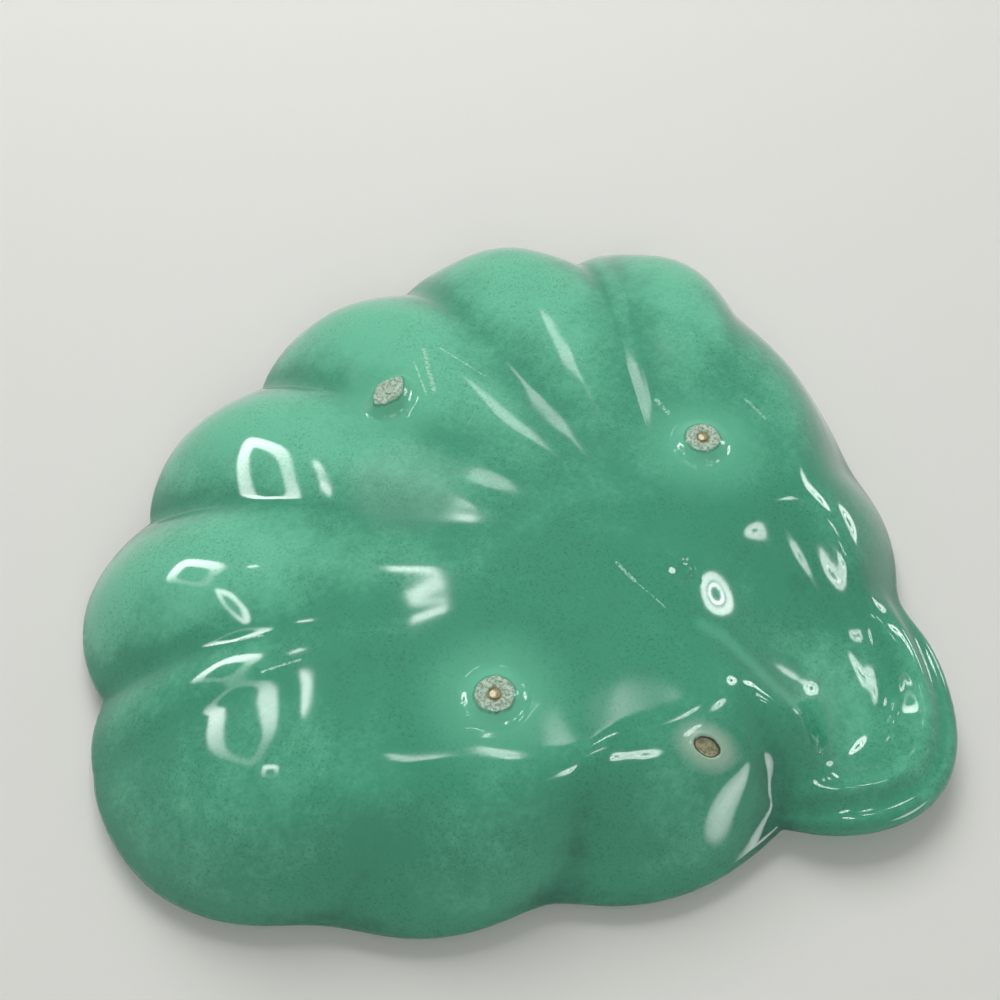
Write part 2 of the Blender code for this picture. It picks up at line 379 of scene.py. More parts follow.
points = [point for ring in rings for point in ring]
shell_low = Vector([min(axis) for axis in zip(*points)])
shell_high = Vector([max(axis) for axis in zip(*points)])
centre = ((shell_low + shell_high) / 2.0).xy.to_3d()

skin = bmesh.new()
place = skin.verts.layers.int.new("place")
ridge = skin.verts.layers.float.new("ridge")
start = bmesh.ops.create_circle(skin, segments=len(outline), radius=first_radius)["verts"]
for index, vertex in enumerate(start):
    vertex[place] = index
    vertex.co = rings[0][index] - centre


def extrude_to(edges, points, amounts):
    """Extrude an open loop and move each new point to its place."""
    grown = bmesh.ops.extrude_edge_only(skin, edges=edges)["geom"]
    for vertex in grown:
        if isinstance(vertex, bmesh.types.BMVert):
            vertex.co = points[vertex[place]] - centre
            vertex[ridge] = amounts[vertex[place]]
    return [edge for edge in grown if isinstance(edge, bmesh.types.BMEdge)]


first_loop = list(skin.edges)
loop = first_loop
for ring, amounts in zip(rings[1:], ridges[1:]):
    loop = extrude_to(loop, ring, amounts)
extrude_to(first_loop, [hub] * len(outline), ridges[-1])
extrude_to(loop, [hub + Vector((0.0, 0.0, wall))] * len(outline), ridges[-1])
bmesh.ops.remove_doubles(skin, verts=skin.verts, dist=weld_distance)
bmesh.ops.recalc_face_normals(skin, faces=skin.faces)
print("skin faces:", len(skin.faces), "closed:", all(edge.is_manifold for edge in skin.edges))

# %% [markdown]
# A skin that fits the solids
#
# The skin has finer facets than the CAD, so it reaches a few hundredths of a millimetre further out on each
# arch. A slight scale brings it inside the CAD's own size.

# %% Fit the skin to the CAD
cad_fit_share = 0.9995
cad_side = cad_high - cad_low
shell_side = shell_high - shell_low
fit = Vector((cad_side.x / shell_side.x, cad_side.y / shell_side.y, cad_side.z / shell_high.z)) * cad_fit_share
bmesh.ops.scale(skin, verts=skin.verts, vec=fit)
print("scaled by", [round(share, 4) for share in fit])

# %% [markdown]
# A surface that has flowed
#
# A glaze never sets quite level. A slow noise sinks the skin by up to a sixth of a millimetre, which is
# enough to bend what it mirrors. It only sinks, so that the dish stays inside its size.

# %% Let the skin flow
wave_depth = 0.16 * MM
wave_length = 17.0 * MM
ripple_share = 0.35
ripples_per_wave = 2.3
calm_height = 0.4 * MM
calm_rise = 1.0 * MM
skin.normal_update()
for vertex in skin.verts:
    spot = vertex.co / wave_length
    wave = noise.noise(spot) + ripple_share * noise.noise(spot * ripples_per_wave)
    above_feet = smooth_step((vertex.co.z - calm_height) / calm_rise)
    sink = smooth_step(0.5 + 0.5 * wave) * wave_depth * above_feet
    vertex.co -= vertex.normal * sink
print("sunk by up to", round(wave_depth / MM, 2), "mm")

# %% [markdown]
# Three stilt marks
#
# In the kiln the dish stood on a three-armed stilt. The glaze ran down each pin and froze there as a small
# nub, and when the stilt was broken off each nub was ground flat. The nubs are part of the glaze, so the
# skin itself is drawn down round each one: its faces are cut finer there, and then moved. The back nub broke
# off in the shape of a leaf, so distances are measured in a stretched way round it.

# %% Find the feet
foot_face_radius = 2.5 * MM
leaf_stretch = 1.32
leaf_squeeze = 0.80
leaf_power = 1.5
leaf_blend = 1.4
feet = {}
for side in ("back", "left", "right"):
    low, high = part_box("foot_nub_" + side)
    feet[side] = Vector(((low.x + high.x) / 2.0, (low.y + high.y) / 2.0, 0.0))


def foot_distance(point, side):
    """How far a point is from a foot's middle, in plan. Round the back foot it grows in the shape of a leaf."""
    away = point.xy - feet[side].xy
    if side != "back":
        return away.length
    leaf = (abs(away.x) / leaf_stretch) ** leaf_power + (abs(away.y) / leaf_squeeze) ** leaf_power
    outside_leaf = smooth_step(away.length / foot_face_radius - leaf_blend)
    return blend(leaf ** (1.0 / leaf_power), away.length, outside_leaf)


print("feet in mm:", {side: [round(v / MM, 1) for v in spot] for side, spot in feet.items()})

# %% Draw the foot nubs out of the skin
foot_flare = 2.6 * MM
flare_power = 2.2
face_edge_snap = 0.15 * MM
foot_cuts = 3
bore_radius = 1.0 * MM
bore_depth = 0.25 * MM
bore_edge = 0.2 * MM
for side in feet:
    near = []
    for edge in skin.edges:
        middle = (edge.verts[0].co + edge.verts[1].co) / 2.0
        if foot_distance(middle, side) < foot_face_radius + foot_flare and middle.z < wall:
            near.append(edge)
    bmesh.ops.subdivide_edges(skin, edges=near, cuts=foot_cuts, use_grid_fill=True)
for side in feet:
    for vertex in skin.verts:
        away = foot_distance(vertex.co, side)
        if away > foot_face_radius + foot_flare or vertex.co.z > wall:
            continue
        if abs(away - foot_face_radius) < face_edge_snap:
            vertex.co.xy = feet[side].xy + (vertex.co.xy - feet[side].xy) * foot_face_radius / away
            away = foot_face_radius
        open_share = min(max((away - foot_face_radius) / foot_flare, 0.0), 1.0)
        vertex.co.z *= 1.0 - (1.0 - open_share) ** flare_power
        if away < bore_radius:
            vertex.co.z += bore_depth * smooth_step((bore_radius - away) / bore_edge)
print("skin vertices:", len(skin.verts))

# %% [markdown]
# A pinhole
#
# One bubble burst in the glaze while it was soft, and left an oval hole with a low lip. A boolean cut would
# leave a hard edge, so the skin is cut finer there and pressed in.

# %% Press the pinhole in
pit = Vector((18.0, -35.5, 3.4)) * MM
pit_axis = Vector((-0.35, -0.94))
pit_across = 1.15 * MM
pit_along = 1.75 * MM
pit_depth = 0.4 * MM
pit_cuts = 4
# How many millimetres up or down still belong to the same side of the wall
pit_slab = 2.0
# Distances from the pinhole's middle, as shares of the way to its edge
pit_cut_share = 2.2
pit_end_share = 1.3
pit_lip_share = 1.2
pit_lip_spread_share = 0.12
pit_lip_rise_share = 0.12
pit_side_share = 1.15
pit_slope_share = 0.35


def pit_distance(point):
    """How far a point is from the pinhole's middle, where 1 is its edge."""
    away = point - pit
    along = away.xy.dot(pit_axis)
    other_side = max(abs(away.z) / MM - pit_slab, 0.0)
    return math.hypot(away.xy.cross(pit_axis) / pit_across, along / pit_along) + other_side


near = [edge for edge in skin.edges if pit_distance(edge.verts[0].co) < pit_cut_share]
bmesh.ops.subdivide_edges(skin, edges=near, cuts=pit_cuts, use_grid_fill=True)
skin.normal_update()
for vertex in skin.verts:
    away = pit_distance(vertex.co)
    if away < pit_end_share:
        sunk = smooth_step((pit_side_share - away) / pit_slope_share)
        lip = pit_lip_rise_share * hump(away - pit_lip_share, pit_lip_spread_share)
        vertex.co -= vertex.normal * pit_depth * (sunk - lip)
print("pinhole in mm:", round(2.0 * pit_across / MM, 1), "by", round(2.0 * pit_along / MM, 1))

# %% Note how far each point is from the marks
foot_far = 14.0 * MM
pit_far = 6.0 * MM
foot_away = skin.verts.layers.float.new("foot_away")
pit_away = skin.verts.layers.float.new("pit_away")
for vertex in skin.verts:
    vertex[foot_away] = min([foot_distance(vertex.co, side) for side in feet] + [foot_far])
    vertex[pit_away] = min(pit_distance(vertex.co) * pit_across, pit_far)
    if vertex.co.z > wall:
        vertex[foot_away] = foot_far
bmesh.ops.recalc_face_normals(skin, faces=skin.faces)
print("points near a foot:", sum(vertex[foot_away] < foot_far for vertex in skin.verts))

# %% [markdown]
# Where the glaze pools
#
# Molten glaze creeps off edges and gathers in hollows, so it looks pale on a crest and deep in a crease.
# A smoothed copy of the skin shows which is which: where smoothing moves a point outwards, it lay in a
# hollow. The amount is kept on the skin as an attribute, which the material reads.

# %% Measure hollows and crests
pool_range = 0.35 * MM
pool_rounds = 60
smooth_factor = 0.5
rest = [vertex.co.copy() for vertex in skin.verts]
skin.normal_update()
normals = [vertex.normal.copy() for vertex in skin.verts]
for _ in range(pool_rounds):
    bmesh.ops.smooth_vert(skin, verts=skin.verts, factor=smooth_factor,
                          use_axis_x=True, use_axis_y=True, use_axis_z=True)
pool = skin.verts.layers.float.new("pool")
for vertex, old, normal in zip(skin.verts, rest, normals):
    vertex[pool] = min(max((vertex.co - old).dot(normal) / pool_range, -1.0), 1.0)
    vertex.co = old
amounts = sorted(vertex[pool] for vertex in skin.verts)
print("pool, low to high:", round(amounts[0], 2), round(amounts[len(amounts) // 2], 2), round(amounts[-1], 2))

# %% Turn the skin into a piece
skin_data = bpy.data.meshes.new("glaze_skin")
skin.to_mesh(skin_data)
skin.free()
skin_data.shade_smooth()
glaze_skin = bpy.data.objects.new("glaze_skin", skin_data)
bpy.context.scene.collection.objects.link(glaze_skin)
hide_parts("glaze_coat", "foot_nub_back", "foot_nub_left", "foot_nub_right")
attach(glaze_skin, "root")
print("skin vertices:", len(skin_data.vertices))

# %% [markdown]
# Materials as sums
#
# A material's masks are sums of distances and noises. Each socket is wrapped in a small class, so a sum of
# sockets is written as a sum in Python and adds its own Math nodes.

# %% Sockets that take part in sums


class Wire:
    """One output socket, which Python's operators join to others with Math nodes."""

    def __init__(self, paint, socket):
        self.paint = paint
        self.socket = socket

    def __add__(self, other):
        return self.paint.join("ADD", self, other)

    __radd__ = __add__

    def __sub__(self, other):
        return self.paint.join("SUBTRACT", self, other)

    def __rsub__(self, other):
        return self.paint.join("SUBTRACT", other, self)

    def __mul__(self, other):
        return self.paint.join("MULTIPLY", self, other)

    __rmul__ = __mul__


print("sums ready")

# %% [markdown]
# One method for every node
#
# The same few steps make any node: add it, set it up, feed its sockets. One method does them, and the
# helpers after it name the nodes that a maker of glazes needs: a noise of some size, a soft step, a mix of
# two colours, a distance. The same class serves materials, lamps and the room.

# %% The paint kit


class Paint:
    """The nodes of one material, lamp or room under construction."""

    def __init__(self, owner, shader="Principled BSDF"):
        owner.use_nodes = True
        self.owner = owner
        self.tree = owner.node_tree
        self.shader = self.tree.nodes[shader]

    @cached_property
    def position(self):
        """The surface's own coordinates."""
        return self.node("ShaderNodeTexCoord", output="Object")

    def node(self, kind, settings=None, inputs=None, output=0):
        """Add a node, set it up, feed its sockets, and return one of its outputs."""
        made = self.tree.nodes.new(kind)
        for name, value in (settings or {}).items():
            setattr(made, name, value)
        for name, value in (inputs or {}).items():
            self.feed(made.inputs[name], value)
        return Wire(self, made.outputs[output])

    def feed(self, socket, value):
        """Link a wire to a socket, or set the socket's own value."""
        if isinstance(value, Wire):
            self.tree.links.new(value.socket, socket)
        elif isinstance(value, tuple) and socket.type == "RGBA":
            socket.default_value = (*value, 1.0)
        else:
            socket.default_value = value

    def noise(self, size, detail=2.0, roughness=0.5, stretch=(1.0, 1.0, 1.0)):
        """A noise from 0 to 1 whose blotches are about a size across."""
        place = self.node("ShaderNodeMapping", {}, {"Vector": self.position, "Scale": stretch})
        return self.node("ShaderNodeTexNoise", {}, {"Vector": place, "Scale": 1.0 / size, "Detail": detail,
                                                    "Roughness": roughness})

    def swing(self, size, detail=2.0, roughness=0.5, stretch=(1.0, 1.0, 1.0)):
        """A noise about 0."""
        return self.noise(size, detail, roughness, stretch) - 0.5

    def fray(self, distance, size, amount, roughness=0.6):
        """A distance that wavers, so that what is drawn with it has a ragged edge."""
        return distance + self.swing(size, 3.0, roughness) * amount

    def step(self, value, low, high):
        """A soft step: 0 below low, 1 above high. It falls instead where low is above high."""
        return self.node("ShaderNodeMapRange", {"interpolation_type": "SMOOTHSTEP"},
                         {"Value": value, "From Min": low, "From Max": high})

    def mix(self, factor, first, second):
        """A colour part of the way from one to another."""
        return self.node("ShaderNodeMix", {"data_type": "RGBA"}, {0: factor, 6: first, 7: second}, output=2)

    def join(self, operation, first, second):
        """A sum on numbers."""
        return self.node("ShaderNodeMath", {"operation": operation}, {0: first, 1: second})

    def clamp(self, value):
        """A number kept from 0 to 1."""
        return self.node("ShaderNodeClamp", {}, {0: value})

    def bump(self, height, distance, strength=1.0):
        """A fine relief, to feed a Normal socket."""
        return self.node("ShaderNodeBump", {}, {"Strength": strength, "Distance": distance, "Height": height})

    def attribute(self, name):
        """A number kept on the mesh."""
        return self.node("ShaderNodeAttribute", {"attribute_name": name}, output="Fac")

    def vector(self, operation, first, second, output="Vector"):
        """A sum on vectors."""
        return self.node("ShaderNodeVectorMath", {"operation": operation}, {0: first, 1: second}, output=output)

    def along(self, way):
        """How far along a direction the surface lies."""
        return self.vector("DOT_PRODUCT", self.position, way, output="Value")

    def length(self, vector):
        """How long a vector is."""
        return self.vector("LENGTH", vector, Vector(), output="Value")

    def spot(self, point):
        """How far the surface is from a point."""
        return self.vector("DISTANCE", self.position, point, output="Value")

    def line(self, start, end):
        """How far the surface is from a straight line between two points."""
        way = end - start
        from_start = self.vector("SUBTRACT", self.position, start)
        place = self.vector("DOT_PRODUCT", from_start, way / way.length_squared, output="Value")
        nearest = self.node("ShaderNodeVectorMath", {"operation": "SCALE"}, {0: way, "Scale": self.clamp(place)})
        return self.vector("DISTANCE", from_start, nearest, output="Value")

    def ray(self, question):
        """1 for the rays that a question of the Light Path node is true of."""
        return self.node("ShaderNodeLightPath", output=question)

    def set(self, **values):
        """Feed the shader's own sockets, named with underscores for spaces."""
        for name, value in values.items():
            self.feed(self.shader.inputs[name.replace("_", " ")], value)
        return self.owner


def srgb(red, green, blue):
    """A colour picked on a screen, from 0 to 255, as linear light."""
    shares = [channel / 255.0 for channel in (red, green, blue)]
    return tuple(share / 12.92 if share <= 0.04045 else ((share + 0.055) / 1.055) ** 2.4 for share in shares)


print("paint kit ready")

# %% [markdown]
# The glaze
#
# A copper green glaze over pale clay: mint where it is thin, mid green over most of the wall, and deep green
# where it pooled. Fine dark specks float in it. A single colour with gloss would look like plastic, so the
# glaze is one number, its depth, which adds up every reason for it to be thick or thin. The same number also
# carries painted light and shade: paler on the far side and in the hollow under the tab, where light falls,
# and deeper towards the rim, where the dish meets the board. That number then picks the colour.

# %% The glaze's depth, with painted light and shade
fan_way = Vector((-0.35, 0.94, 0.0))
up_way = Vector((0.0, 0.0, 1.0))
# Painted light: a pale patch in the hollow under the tab, where light gathers
light_pool_middle = Vector((-2.0, -48.0, 12.5)) * MM
light_pool_far = 17.0 * MM
light_pool_near = 3.0 * MM
fan_start = -14.0 * MM
fan_end = 32.0 * MM
# Painted shade: the glaze is deeper green towards the rim, where the dish meets the board
brim_low = 12.0 * MM
brim_high = 18.0 * MM
brush_low = 2.0 * MM
brush_high = 6.0 * MM
mottle_size = 24.0 * MM
cloud_size = 6.0 * MM
grain_size = 1.1 * MM
brush_size = 2.4 * MM
brush_stretch = (1.0, 1.0, 0.16)

glaze = Paint(bpy.data.materials.new("sea_green_glaze"))
height = glaze.along(up_way)
# Partly thin glaze, partly painted light: the far side of the fan is paler
far_side_thin_and_lit = glaze.step(glaze.along(fan_way), fan_start, fan_end)
# Painted shade towards the rim
brim_shade = glaze.step(height, brim_low, brim_high)
# Painted light in the hollow under the tab
hollow_light_pool = glaze.step(glaze.spot(light_pool_middle), light_pool_far, light_pool_near)
mottle = glaze.swing(mottle_size, 3.0)
cloud = glaze.swing(cloud_size, 4.0, 0.6)
grain = glaze.swing(grain_size, 3.0, 0.7)
brush = glaze.swing(brush_size, 3.0, 0.6, brush_stretch) * glaze.step(height, brush_low, brush_high)

# Each reason for the colour to be paler or deeper, with its weight: thin or thick glaze, and painted light
# and shade. A minus makes it paler.
base_depth = 0.51
reasons = [
    # Painted light: paler in the hollow under the tab
    (hollow_light_pool, -0.26),
    (glaze.attribute("ridge"), -0.17),
    # Partly thin glaze, partly painted light on the far side
    (far_side_thin_and_lit, -0.28),
    # Painted shade: deeper green towards the rim
    (brim_shade, 0.42),
    (glaze.attribute("pool"), 0.10),
    (mottle, 0.34),
    (cloud, 0.38),
    (grain, 0.34),
    (brush, 0.20),
]
depth = base_depth
for reason, weight in reasons:
    depth = reason * weight + depth
print("reasons for the glaze's depth:", len(reasons))

# %% The glaze's colour and specks
# Mint: thin glaze, and also painted light
thin_and_lit = srgb(106, 200, 163)
middle = srgb(56, 152, 119)
# Deep green: pooled glaze, and also painted shade towards the rim
deep = srgb(20, 106, 81)
dark = srgb(26, 84, 62)
thin_depth = -0.05
middle_depth = 0.5
deep_depth = 1.05
speck_size = 0.36 * MM
speck_range = (0.50, 0.70)
swarm_size = 9.0 * MM
swarm_range = (0.25, 0.60)
speck_strength = 0.40

colour = glaze.mix(glaze.step(depth, thin_depth, middle_depth), thin_and_lit, middle)
colour = glaze.mix(glaze.step(depth, middle_depth, deep_depth), colour, deep)
speck = glaze.step(glaze.noise(speck_size, 2.0, 0.7), *speck_range)
speck *= glaze.step(glaze.noise(swarm_size, 2.0), *swarm_range)
colour = glaze.mix(speck * speck_strength, colour, dark)
print("glaze nodes:", len(glaze.tree.nodes))

# %% [markdown]
# A painted highlight, and where the glaze ran thin
#
# A pale soft line along the edge of the hollow is a painted highlight, drawn between three points on that
# edge. The glaze ran thin round each nub, which has a pale halo.

# %% The painted highlight on the hollow's edge, and the halos
ridge_highlight_points = [Vector((3.2, -27.0, 2.5)), Vector((2.8, -30.0, 2.9)), Vector((5.2, -42.2, 5.5))]
ridge_highlight_width = 2.0 * MM
ridge_highlight_core = 0.2 * MM
ridge_highlight_strength = 0.34
wide_halo = (13.0 * MM, 1.0 * MM)
wide_strength = 0.75
close_halo = (5.5 * MM, 2.4 * MM)
close_strength = 0.25

first, second, third = [point * MM for point in ridge_highlight_points]
# The painted highlight: how far the surface is from the hollow's edge
lip = glaze.join("MINIMUM", glaze.line(first, second), glaze.line(second, third))
lip = glaze.fray(lip, size=2.0 * MM, amount=1.2 * MM)
# Mix in the painted highlight
colour = glaze.mix(glaze.step(lip, ridge_highlight_width, ridge_highlight_core) * ridge_highlight_strength, colour, thin_and_lit)
foot_edge = glaze.fray(glaze.attribute("foot_away"), size=1.4 * MM, amount=0.7 * MM)
halo = glaze.step(foot_edge, *wide_halo) * wide_strength + glaze.step(foot_edge, *close_halo) * close_strength
colour = glaze.mix(halo, colour, thin_and_lit)
print("glaze nodes:", len(glaze.tree.nodes))

# %% [markdown]
# The ground faces and the pinhole
#
# A nub's ground face is bare, dry and grey, with a tan socket round the pin. A dark ring round the face,
# where the glaze begins, is painted shade from the nub's side. The pinhole shows brown clay inside a dark
# edge. Faces and pinhole could be pieces of their own, but they are fired into the glaze, so one material
# paints them where the marks' distances on the skin say so.

# %% Paint the ground faces
chalk = srgb(196, 220, 200)
ash = srgb(126, 156, 132)
tan = srgb(134, 122, 78)
ground_edge = (foot_face_radius + 0.08 * MM, foot_face_radius - 0.12 * MM)
# Painted shade: a dark ring just outside each ground face
face_shade_edge = (foot_face_radius + 0.45 * MM, foot_face_radius + 0.1 * MM)
face_shade_strength = 0.45
crumb_size = 0.55 * MM
crumb_range = (0.38, 0.60)
socket_edge = (bore_radius + 0.3 * MM, bore_radius - 0.1 * MM)
socket_strength = 0.8
# The back pin left no tan socket, so it stops this near to the back foot
back_near = 3.0 * MM
back_far = 4.0 * MM

ground = glaze.step(foot_edge, *ground_edge)
# Painted shade of the nub's side, round each ground face
face_edge_shade = glaze.step(foot_edge, *face_shade_edge) - ground
colour = glaze.mix(face_edge_shade * face_shade_strength, colour, dark)
crumb = glaze.step(glaze.noise(crumb_size, 4.0, 0.7), *crumb_range)
socket = glaze.step(foot_edge, *socket_edge) * glaze.step(glaze.spot(feet["back"]), back_near, back_far)
bare = glaze.mix(socket * socket_strength, glaze.mix(crumb, ash, chalk), tan)
colour = glaze.mix(ground, colour, bare)
print("glaze nodes:", len(glaze.tree.nodes))

# %% Paint the pinhole
scorch = srgb(58, 66, 44)
brown_clay = srgb(114, 112, 78)
pale_clay = srgb(160, 160, 126)
bleach_reach = 3.6 * MM
bleach_strength = 0.6
scorch_edge = (pit_across * 1.08, pit_across * 0.98)
hole_edge = (pit_across * 0.94, pit_across * 0.78)

burst = glaze.fray(glaze.attribute("pit_away"), size=1.2 * MM, amount=0.25 * MM)
colour = glaze.mix(glaze.step(burst, bleach_reach, pit_across) * bleach_strength, colour, chalk)
colour = glaze.mix(glaze.step(burst, *scorch_edge), colour, scorch)
hole = glaze.step(burst, *hole_edge)
colour = glaze.mix(hole, colour, glaze.mix(crumb, brown_clay, pale_clay))
print("glaze nodes:", len(glaze.tree.nodes))

# %% [markdown]
# Years of use
#
# Rings and coins left hair scratches and chalky scuffs. A tiled scratch picture would repeat, so each mark is
# a line between two points of the surface, broken up by a fine noise. Each is given in millimetres, from end
# to end, with its width.

# %% Scratch the glaze
scratches = [
    (Vector((1.7, -12.4, 1.6)), Vector((2.8, -15.9, 1.7)), 0.34),
    (Vector((2.8, -15.9, 1.7)), Vector((4.0, -21.4, 1.8)), 0.16),
    (Vector((-27.2, -2.4, 1.6)), Vector((-25.9, -5.3, 1.6)), 0.55),
    (Vector((-15.4, 33.6, 1.3)), Vector((-9.3, 27.2, 1.5)), 0.50),
    (Vector((-12.5, 33.4, 1.3)), Vector((-8.3, 28.0, 1.5)), 0.22),
    (Vector((-17.3, 31.8, 1.4)), Vector((-16.5, 22.6, 1.6)), 0.20),
    (Vector((42.1, 17.9, 2.1)), Vector((38.1, 14.7, 1.7)), 0.26),
    (Vector((-35.1, -13.8, 1.6)), Vector((-33.3, -18.1, 1.7)), 0.50),
    (Vector((40.0, 23.9, 2.9)), Vector((38.0, 21.5, 2.3)), 0.22),
    (Vector((16.0, 2.7, 1.5)), Vector((14.5, 2.0, 1.5)), 0.16),
]
scuff_colour = srgb(170, 222, 194)
scuff_strength = 0.75
fray_size = 1.1 * MM
fray_share = 0.9
core_share = 0.45
worn_size = 0.4 * MM
worn_range = (0.36, 0.62)

scratch = 0.0
for start, end, width in scratches:
    edge = glaze.fray(glaze.line(start * MM, end * MM), fray_size, fray_share * width * MM, roughness=0.7)
    scratch = glaze.step(edge, width * MM, width * core_share * MM) + scratch
worn = glaze.step(glaze.noise(worn_size, 3.0, 0.7), *worn_range)
scratch = glaze.clamp(scratch * worn)
colour = glaze.mix(scratch * scuff_strength, colour, scuff_colour)
print("scratches:", len(scratches))

# %% Finish the glaze
gloss_roughness = 0.07
# One worn patch is softer than the rest, and so is the glaze where it is cloudy
haze_middle = Vector((8.0, 20.0, 1.5)) * MM
haze_edge = (11.0 * MM, 5.0 * MM)
haze_strength = 0.16
cloud_range = (0.0, 0.3)
cloud_strength = 0.04
ground_strength = 0.7
hole_strength = 0.4
scratch_strength = 0.4
scratch_sink = 0.3
relief_depth = 0.05 * MM
glass_index = 1.5

haze = glaze.step(glaze.spot(haze_middle), *haze_edge) * haze_strength
haze += glaze.step(cloud, *cloud_range) * cloud_strength
rough = gloss_roughness + haze + ground * ground_strength + hole * hole_strength + scratch * scratch_strength
relief = glaze.bump(ground * crumb - scratch * scratch_sink, relief_depth)
glaze_skin.data.materials.append(glaze.set(Base_Color=colour, Roughness=rough, Normal=relief, IOR=glass_index))
print("glaze nodes:", len(glaze.tree.nodes))

# %% [markdown]
# The clay and the pins
#
# The body under the glaze is cream earthenware, and the broken pins are a coarser yellow clay with a pale
# core. The CAD solids already have the right shapes, so they stay and only get a better surface.

# %% Paint the clay
clay = Paint(bpy.data.materials.new("fired_clay"))
clay_colour = clay.mix(clay.noise(3.0 * MM, 4.0), srgb(214, 200, 172), srgb(232, 222, 198))
clay_grain = clay.bump(clay.noise(0.6 * MM), distance=0.05 * MM, strength=0.5)
clay.set(Base_Color=clay_colour, Roughness=0.85, Normal=clay_grain)
print("clay nodes:", len(clay.tree.nodes))

# %% Paint the pins
core_shift = Vector((0.2, 0.25, 0.1)) * MM
core_edge = (0.62 * MM, 0.38 * MM)
pin_crumb = 0.4 * MM

pin = Paint(bpy.data.materials.new("pin_clay"))
cores = [pin.spot(foot + core_shift) for foot in feet.values()]
nearest = pin.join("MINIMUM", pin.join("MINIMUM", cores[0], cores[1]), cores[2])
core = pin.step(pin.fray(nearest, size=0.5 * MM, amount=0.5 * MM, roughness=0.5), *core_edge)
pin_colour = pin.mix(pin.noise(pin_crumb, 3.0), srgb(138, 132, 92), srgb(176, 170, 130))
pin_colour = pin.mix(core, pin_colour, srgb(238, 234, 196))
at_back = pin.step(pin.spot(feet["back"]), back_far, back_near)
back_colour = pin.mix(pin.noise(pin_crumb, 3.0), srgb(136, 160, 136), srgb(206, 226, 206))
pin_colour = pin.mix(at_back, pin_colour, back_colour)
pin_grain = pin.bump(pin.noise(0.3 * MM), distance=0.08 * MM, strength=0.8)
pin.set(Base_Color=pin_colour, Roughness=0.9, Normal=pin_grain)

for name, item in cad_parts.items():
    paint = pin if name.startswith("pin_tip") else clay
    item.data.materials.clear()
    item.data.materials.append(paint.owner)
print("painted:", sorted(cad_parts))

# %% [markdown]
# The stage
#
# The dish is photographed upside down, so the pale board that it lies on touches the rim, above the dish in
# this frame, and the camera looks up at it from below. For every other view there is a floor under the feet.
# Each shows only its front, and lets light through, or each would shade the dish in the other's views. Close
# to the rim the board is solid to light too, so that the rim is dark where it touches, and mirrors the board.
# Far from the lamps each plane fades into a glow of its own colour, so that it looks pale as far as it goes.

# %% The stage's plane
stage_reach = 3.0


def plane_mesh(height, faces_up, hole):
    """A wide plane as a bmesh, with or without a hole, which faces up or down."""
    mesh = bmesh.new()
    if hole is None:
        bmesh.ops.create_grid(mesh, x_segments=1, y_segments=1, size=stage_reach)
    else:
        inner = bmesh.ops.create_circle(mesh, segments=len(hole), radius=stage_reach)["verts"]
        for vertex, point in zip(inner, hole):
            vertex.co = point
        spread = bmesh.ops.extrude_edge_only(mesh, edges=list(mesh.edges))["geom"]
        for vertex in spread:
            if isinstance(vertex, bmesh.types.BMVert):
                vertex.co.xy = vertex.co.xy.normalized() * stage_reach
    for vertex in mesh.verts:
        vertex.co.z = height
    mesh.normal_update()
    turned = [face for face in mesh.faces if (face.normal.z > 0.0) != faces_up]
    bmesh.ops.reverse_faces(mesh, faces=turned)
    return mesh


print("stage reaches", stage_reach, "m")

# %% The board and the floor
pale = srgb(226, 226, 222)
glow = srgb(213, 214, 210)
black = (0.0, 0.0, 0.0)
contact_range = 9.0 * MM
fade_start = 0.22
fade_end = 0.70
matt = 0.9
stage_gap = 0.05 * MM
board_step = 3


def stage_plane(name, height, faces_up, hole=None):
    """A wide pale plane that the camera sees from its front. One with a hole is solid nearby for all light."""
    mesh = plane_mesh(height, faces_up, hole)
    data = bpy.data.meshes.new(name)
    mesh.to_mesh(data)
    mesh.free()
    item = bpy.data.objects.new(name, data)
    bpy.context.scene.collection.objects.link(item)
    paint = Paint(bpy.data.materials.new(name))
    seen = paint.ray("Is Camera Ray")
    near = paint.join("LESS_THAN", paint.ray("Ray Length"), contact_range if hole else 0.0)
    front = 1.0 - paint.node("ShaderNodeNewGeometry", output="Backfacing")
    fade = paint.step(paint.length(paint.position), fade_start, fade_end)
    paint.set(Base_Color=paint.mix(fade, pale, black), Roughness=matt,
              Emission_Color=paint.mix(fade, black, glow), Emission_Strength=1.0)
    clear = paint.node("ShaderNodeBsdfTransparent")
    solid = Wire(paint, paint.shader.outputs[0])
    mixed = paint.node("ShaderNodeMixShader", {}, {0: seen * front + (1.0 - seen) * near, 1: clear, 2: solid})
    paint.feed(paint.tree.nodes["Material Output"].inputs["Surface"], mixed)
    data.materials.append(paint.owner)
    item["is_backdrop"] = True


crown = [max((ring[index] for ring in rings), key=lambda point: point.z) - centre
         for index in range(0, len(outline), board_step)]
crown.sort(key=lambda point: math.atan2(point.y, point.x))
stage_plane("board", cad_high.z + stage_gap, False, crown)
stage_plane("floor", cad_low.z - stage_gap, True)
print("board at", round(cad_high.z / MM, 2), "mm, floor at", round(cad_low.z / MM, 2), "mm")

# %% [markdown]
# The camera
#
# A telephone's main lens, looking down at the board from 55 degrees. Its place is measured from the hub of
# the shell, so it holds still when the rim is redrawn.

# %% Place the camera
camera_place = Vector((80.8, -22.6, -129.6)) * MM - centre
camera_tilt = math.radians(55.0)
camera_turn = math.radians(-34.0)
sensor_width = 36.0
lens_length = 39.6
closest_view = 1.0 * MM

